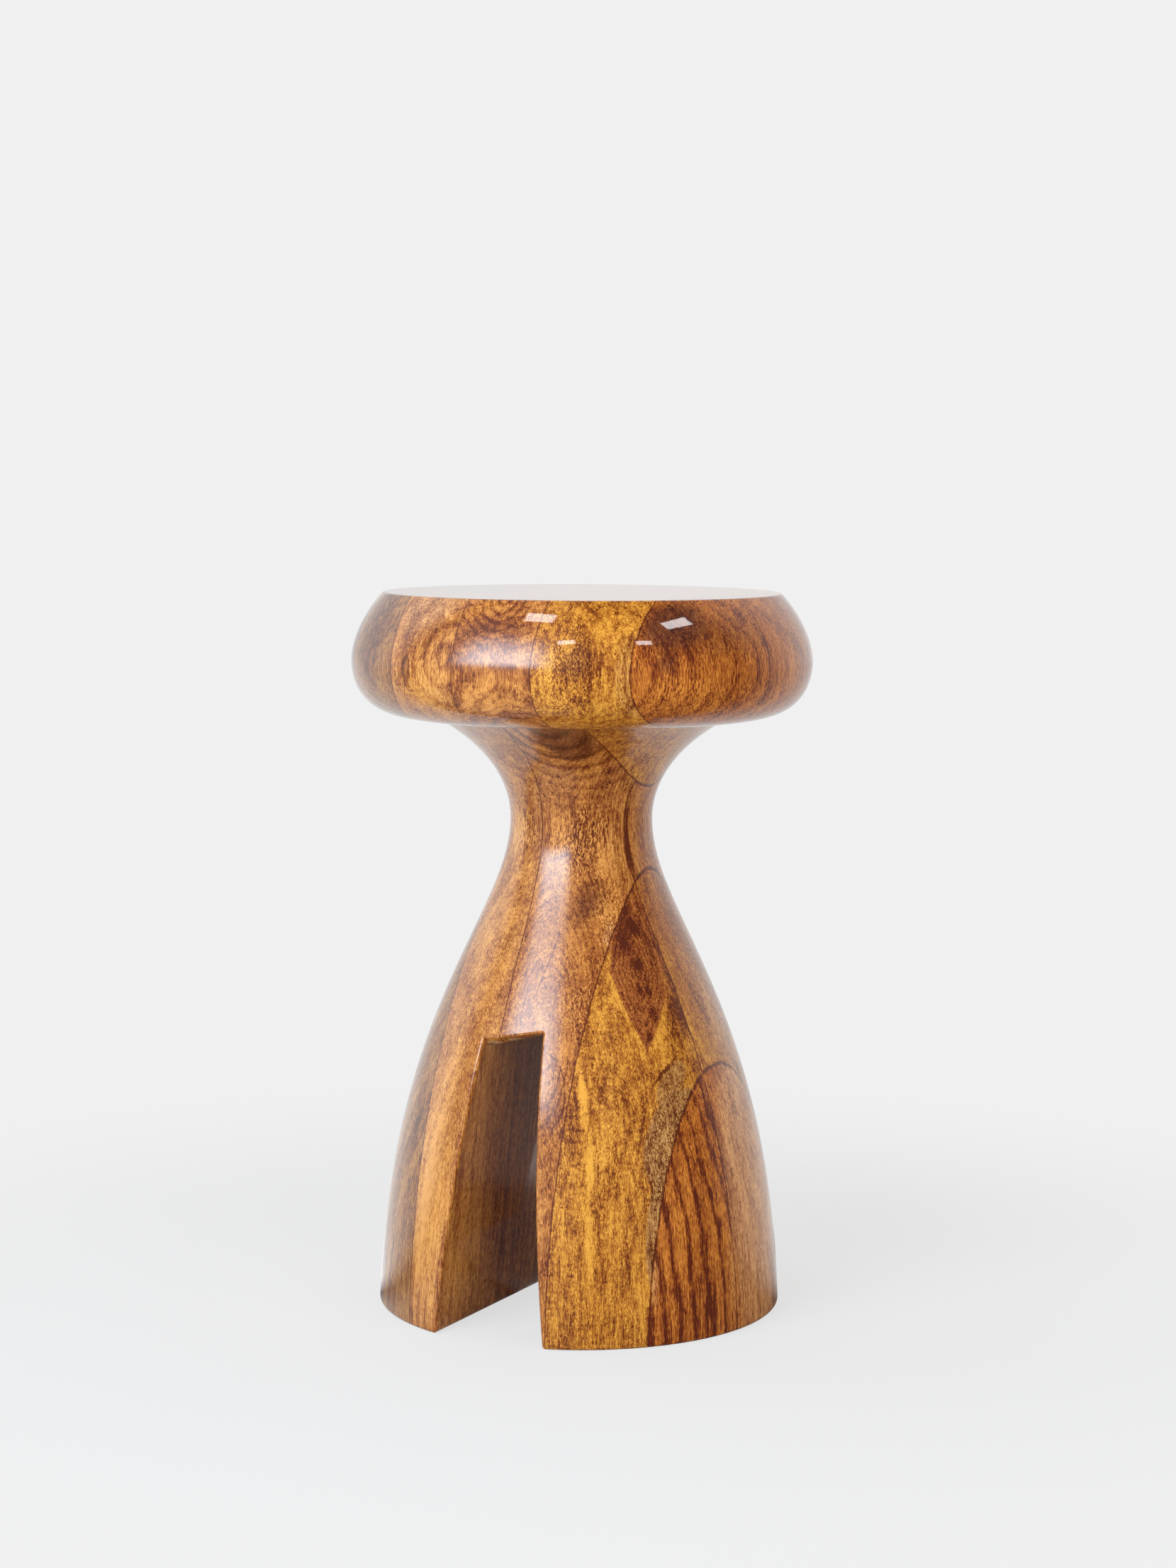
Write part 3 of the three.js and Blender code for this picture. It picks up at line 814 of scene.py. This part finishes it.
def set_stops(ramp, stops):
    """Gives a colour ramp its stops, as places and linear colours, and returns its colour."""
    kept = ramp.color_ramp.elements
    while len(kept) > 1:
        kept.remove(kept[-1])
    for index, (place, tint) in enumerate(stops):
        stop = kept[0] if index == 0 else kept.new(place)
        stop.position, stop.color = place, (*tint, 1)
    return ramp.outputs[0]


def board_wood(slot, column):
    """Tropical hardwood of one board, turned, sanded and sprayed with clear gloss lacquer.

    The eye gets growth bands round the board's own pith, short wavy gold flecks where the grain
    interlocks, fine dark pores, a dark glue line along each joint, and mirror-like reflections.
    """
    key = slot + "_" + column
    name = "gloss_lacquered_hardwood_" + key.replace("_wood", "")
    if name in bpy.data.materials:
        return bpy.data.materials[name]
    look = {**PLAIN_BOARD, **BOARD_LOOKS[key]}
    finish = bpy.context.scene.stool_finish
    boards = bpy.context.scene.stool_boards
    made = bpy.data.materials.new(name)
    made.use_nodes = True
    tree = made.node_tree
    add = partial(node, tree)

    place = add("TexCoord", out="Object")
    place = add("Mapping", {"Vector": place, "Rotation": (0, 0, boards.turn), "Scale": (1000, 1000, 1000)})
    across, along, height = add("SeparateXYZ", (place,), None).outputs[:3]
    grains = wavy_grain(add, place, look)
    figure = board_figure(add, grains, look)
    tone, heart = growth(add, grains["grown"], height, figure, look)
    wood = (*getattr(finish, slot), 1)
    wood = add("Mix", {0: heart, 6: wood, 7: (*finish.heart, 1)}, 2, data_type="RGBA")
    tone, wood = add_marks(add, grains, figure, look, BOARD_MARKS.get(key, ()), tone, wood, finish)
    glue = glue_lines(add, across, along, figure["cloud"], boards)
    tone = add("Math.SUBTRACT", (tone, glue))
    shades = set_stops(add("ValToRGB", (tone,), None), SHADES)
    paint = add("Mix", {0: 1.0, 6: wood, 7: shades}, 2, data_type="RGBA", blend_type="MULTIPLY")

    # Lacquer: a clear film of about 0.1 mm, index 1.5, nearly mirror smooth. It follows the grain a little,
    # in ripples of up to a hundredth of a millimetre.
    film = add("Mapping", {"Vector": grains["grown"], "Location": look["shift"], "Scale": (0.45, 0.45, 0.11)})
    film = add("TexNoise", {"Vector": film, "Scale": 1.0, "Detail": 2.0})
    links = {
        "Base Color": paint,
        "Roughness": add("MapRange", (figure["fibres"], -0.3, 0.3, 0.5, 0.36)),
        "Normal": add("Bump", {"Height": figure["fibres"], "Strength": 0.4, "Distance": 0.00006}),
        "Coat Normal": add("Bump", {"Height": film, "Strength": 1.0, "Distance": finish.ripple}),
    }
    shader = tree.nodes["Principled BSDF"]
    for socket, source in links.items():
        tree.links.new(source, shader.inputs[socket])
    shader.inputs["IOR"].default_value = 1.5
    shader.inputs["Specular IOR Level"].default_value = 0.15
    shader.inputs["Coat Weight"].default_value = 1.0
    shader.inputs["Coat Roughness"].default_value = finish.gloss
    shader.inputs["Coat IOR"].default_value = 1.5
    return made


def direction(side_angle, rise):
    """A direction from the stool, in degrees to the right of the camera's side and degrees upward."""
    turn = VIEW_TURN + math.radians(side_angle)
    rise = math.radians(rise)
    return Vector((math.sin(turn) * math.cos(rise), -math.cos(turn) * math.cos(rise), math.sin(rise)))


# The room's brightness by direction, from straight behind the camera's left round to its right:
# angle from the camera in degrees, and level.
ROOM = (
    (-180, 1.0), (-140, 1.35), (-108, 1.6), (-92, 0.25), (-75, 0.9), (-25, 0.8),
    (5, 0.15), (86, 0.1), (108, 0.7), (130, 1.0), (180, 1.0),
)


def toward_camera(add, out):
    """The node's own place or way, turned so that +X is toward the camera and +Y to its right."""
    return add("Mapping", {"Vector": add("TexCoord", out=out), "Rotation": (0, 0, math.pi / 2 - VIEW_TURN)})


def room_level(add, way):
    """Half of the room's brightness by direction, where +X is toward the camera and +Y to its right."""
    around = add("TexGradient", {"Vector": way}, "Fac", gradient_type="RADIAL")
    stops = [(angle / 360 + 0.5, (level / 2,) * 3) for angle, level in ROOM]
    return set_stops(add("ValToRGB", (around,), None), stops)


def mirrored(add):
    """Two sockets: one is 1 for the rays that gloss and glass send out, the other for the camera's own."""
    path = add("LightPath", out=None).outputs
    gloss = add("Math.MAXIMUM", (path["Is Glossy Ray"], path["Is Transmission Ray"]))
    return gloss, path["Is Camera Ray"]


def add_room(scene, stage):
    """The room's light: bright to the left and behind, dim to the right. The camera sees the plain backdrop,
    and so do gloss and glass where it stands behind the stool."""
    world = bpy.data.worlds.new("studio_room")
    scene.world = world
    world.use_nodes = True
    tree = world.node_tree
    add = partial(node, tree)
    way = toward_camera(add, "Generated")
    nearer, _, up = add("SeparateXYZ", (way,), None).outputs[:3]
    ceiling = add("MapRange", (up, 0.7, 0.9, 2.0, 0.7), **SOFT)
    room = add("VectorMath.SCALE", {0: room_level(add, way), "Scale": ceiling})
    room = add("VectorMath.SCALE", {0: room, "Scale": stage.room})
    behind = add("MapRange", (nearer, -0.5, -0.85, 0.0, 1.0))
    gloss, camera_ray = mirrored(add)
    seen = add("Math.MULTIPLY", (gloss, behind))
    seen = add("Math.MAXIMUM", (camera_ray, seen))
    seen = add("Mix", {0: seen, 6: room, 7: (*stage.backdrop, 1)}, 2, data_type="RGBA")
    tree.links.new(seen, tree.nodes["Background"].inputs["Color"])


def add_lamp(scene, name, size, brightness, place, target):
    """A flat rectangular lamp that faces a point, with the brightness of its face."""
    data = bpy.data.lights.new(name, "AREA")
    data.shape = "RECTANGLE"
    data.size, data.size_y = size
    data.energy = brightness * data.size * data.size_y * math.pi
    lamp = bpy.data.objects.new(name, data)
    lamp.location = place
    lamp.rotation_euler = (Vector(target) - lamp.location).to_track_quat("-Z", "Y").to_euler()
    scene.collection.objects.link(lamp)
    return lamp


def add_window(scene, stage):
    """A tall curtained window to the left of the camera: crisp at its sill, soft at its other edges."""
    width, height, sill_height = 1.7, 1.5, 0.52
    place = direction(-40, 0) * 1.5 + Vector((0, 0, sill_height + height / 2))
    data = add_lamp(scene, "window", (width, height), stage.key, place, (0, 0, place.z)).data
    data.color = (0.84, 0.96, 1.1)
    data.use_nodes = True
    add = partial(node, data.node_tree)
    pane = add("NewGeometry", out="Parametric")
    pane = add("SeparateXYZ", (pane,), None).outputs
    across = add("Math.PINGPONG", (pane[0], 0.5))
    across = add("MapRange", (across, 0.0, 0.36, 0.0, 1.0), **SOFT)
    sill = add("MapRange", (pane[1], 0.0, 0.2, 0.0, 1.0), **SOFT)
    top = add("MapRange", (pane[1], 0.2, 1.0, 1.0, 0.0), **SOFT)
    glow = add("Math.MULTIPLY", (across, sill))
    glow = add("Math.MULTIPLY", (glow, top))
    data.node_tree.links.new(glow, data.node_tree.nodes["Emission"].inputs["Strength"])


def add_fill(scene, stage):
    """A large dim panel at the right of the camera, too dull to show as a reflection in the lacquer."""
    place = direction(30, 10) * 2.3 + Vector((0, 0, 0.3))
    add_lamp(scene, "fill", (1.8, 1.4), stage.fill, place, (0, 0, 0.2)).visible_glossy = False


def add_spots(scene, stage):
    """Four small ceiling lamps, which show as small bright marks on the seat's rim."""
    for name, side_angle, rise, size, tilt in (
        ("lamp_left", -36, 64, (0.33, 0.20), 10),
        ("lamp_right", 68, 52, (0.38, 0.17), -6),
        ("lamp_low_left", -9, 42, (0.22, 0.12), 12),
        ("lamp_low_right", 36, 39.5, (0.21, 0.12), -8),
    ):
        rim = direction(side_angle / 2, 0) * 0.135 + Vector((0, 0, 0.447))
        lamp = add_lamp(scene, name, size, stage.spots, rim + direction(side_angle, rise) * 1.6, rim)
        lamp.rotation_euler.rotate_axis("Z", math.radians(tilt))


def add_floor(scene, stage):
    """A matt painted floor that keeps the stool's shadow, and far off is the backdrop's own colour."""
    reach = 8.0
    corners = [(-reach, -reach, 0), (reach, -reach, 0), (reach, reach, 0), (-reach, reach, 0)]
    floor = bpy.data.objects.new("floor", mesh_from("floor", corners, [(0, 1, 2, 3)]))
    scene.collection.objects.link(floor)
    paint = bpy.data.materials.new("matt_painted_floor")
    paint.use_nodes = True
    tree = paint.node_tree
    add = partial(node, tree)
    shader = tree.nodes["Principled BSDF"]
    shader.inputs["Base Color"].default_value = (*stage.floor, 1)
    shader.inputs["Roughness"].default_value = 0.9
    shader.inputs["Specular IOR Level"].default_value = 0.1
    place = toward_camera(add, "Object")
    distance = add("VectorMath.LENGTH", (place,), "Value")
    far = add("MapRange", (distance, 0.25, 0.75, stage.calm, 1.0), **SOFT)
    gloss, camera_ray = mirrored(add)
    seen = add("Math.MULTIPLY", (far, camera_ray))
    seen = add("Math.MAXIMUM", (seen, gloss))

    # In reflections the floor is as bright as the room beyond it, and a painted shadow of the stool dims it between
    # the stool's legs.
    middle, half_sizes, turn = (0.015, 0.04, 0), (0.045, 0.17, 1), (0, 0, -VIEW_TURN / 2)
    near = reach_from(add, add("TexCoord", out="Object"), middle, half_sizes, turn)
    near = add("MapRange", (near, 0.8, 1.4, 0.2, 1.8), **SOFT)
    level = add("Math.MULTIPLY", (room_level(add, place), near))
    level = add("Mix", {0: camera_ray, 2: level, 3: 1.0})
    plain = add("Emission", {"Color": (*stage.backdrop, 1), "Strength": level})
    mixed = add("MixShader", (seen, shader.outputs[0], plain))
    tree.links.new(mixed, tree.nodes["Material Output"].inputs["Surface"])
    floor.data.materials.append(paint)


def add_camera(scene):
    """The photograph's camera: a little above the seat, turned to the right of the slot's mouth."""
    data = bpy.data.cameras.new("camera")
    camera = bpy.data.objects.new("camera", data)
    scene.collection.objects.link(camera)
    scene.camera = camera
    turn = Matrix.Rotation(VIEW_TURN, 4, "Z")
    camera.location = turn @ Vector((0.004185, -2.01168, 0.54312))
    pitch, roll = math.radians(5.8636), math.radians(0.3003)
    look = turn @ Matrix.Rotation(math.pi / 2 - pitch, 4, "X") @ Matrix.Rotation(roll, 4, "Z")
    camera.rotation_euler = look.to_euler()
    data.sensor_width = 36
    data.lens = 72.15
    data.clip_start = 0.05


class STOOL_OT_stage(bpy.types.Operator):
    """Sets up the camera, the floor, the backdrop and the light"""

    bl_idname = "stool.stage"
    bl_label = "Stage and camera"
    bl_options = {"REGISTER", "UNDO"}

    def execute(self, context):
        scene, stage = context.scene, context.scene.stool_stage
        add_camera(scene)
        for add_part in (add_room, add_window, add_fill, add_spots, add_floor):
            add_part(scene, stage)
        scene.view_settings.view_transform = "Standard"
        return {"FINISHED"}


class STOOL_OT_core_boards(bpy.types.Operator):
    """Turns the four middle boards, which run from the floor to the seat and form the neck"""

    bl_idname = "stool.core_boards"
    bl_label = "Core boards"
    bl_options = {"REGISTER", "UNDO"}

    def execute(self, context):
        add_layer(context, "core_board_{}", 0, (-OVERCUT, SEAT_HEIGHT + OVERCUT), "core_wood")
        return {"FINISHED"}


class STOOL_OT_foot_boards(bpy.types.Operator):
    """Turns the foot's pieces of the outer layers"""

    bl_idname = "stool.foot_boards"
    bl_label = "Foot boards"
    bl_options = {"REGISTER", "UNDO"}

    def execute(self, context):
        neck = context.scene.stool_form.neck_height
        add_layer(context, "foot_mid_{}", 1, (-OVERCUT, neck), "mid_wood")
        add_layer(context, "foot_rim_{}", 2, (-OVERCUT, neck), "rim_wood")
        return {"FINISHED"}


class STOOL_OT_seat_boards(bpy.types.Operator):
    """Turns the seat's pieces of the outer layers"""

    bl_idname = "stool.seat_boards"
    bl_label = "Seat boards"
    bl_options = {"REGISTER", "UNDO"}

    def execute(self, context):
        neck = context.scene.stool_form.neck_height
        add_layer(context, "seat_mid_{}", 1, (neck, SEAT_HEIGHT + OVERCUT), "mid_wood")
        add_layer(context, "seat_rim_{}", 2, (neck, SEAT_HEIGHT + OVERCUT), "rim_wood")
        return {"FINISHED"}


class STOOL_PT_sidebar(bpy.types.Panel):
    """The stool's sizes, finish and build steps"""

    bl_idname = "STOOL_PT_sidebar"
    bl_label = "Turned stool"
    bl_space_type = "VIEW_3D"
    bl_region_type = "UI"
    bl_category = "Stool"

    def draw(self, context):
        layout = self.layout
        for name, group in GROUPS.items():
            box = layout.box()
            for key in group.__annotations__:
                box.prop(getattr(context.scene, name), key)
        for operator in OPERATORS:
            layout.operator(operator.bl_idname)


GROUPS = {
    "stool_form": StoolForm, "stool_boards": StoolBoards, "stool_finish": StoolFinish, "stool_stage": StoolStage,
}
OPERATORS = (STOOL_OT_stage, STOOL_OT_core_boards, STOOL_OT_foot_boards, STOOL_OT_seat_boards)
CLASSES = (*GROUPS.values(), *OPERATORS, STOOL_PT_sidebar)


def register():
    """Adds the stool's settings, steps and panel."""
    for cls in CLASSES:
        bpy.utils.register_class(cls)
    for name, group in GROUPS.items():
        setattr(bpy.types.Scene, name, bpy.props.PointerProperty(type=group))


def unregister():
    """Takes them out again."""
    for name in GROUPS:
        delattr(bpy.types.Scene, name)
    for cls in reversed(CLASSES):
        bpy.utils.unregister_class(cls)


def main():
    """Builds the stage and every piece."""
    register()
    bpy.ops.stool.stage()
    bpy.ops.stool.core_boards()
    bpy.ops.stool.foot_boards()
    bpy.ops.stool.seat_boards()
    bpy.data.meshes.remove(bpy.data.meshes["slotted_form"])


if __name__ == "__main__":
    main()
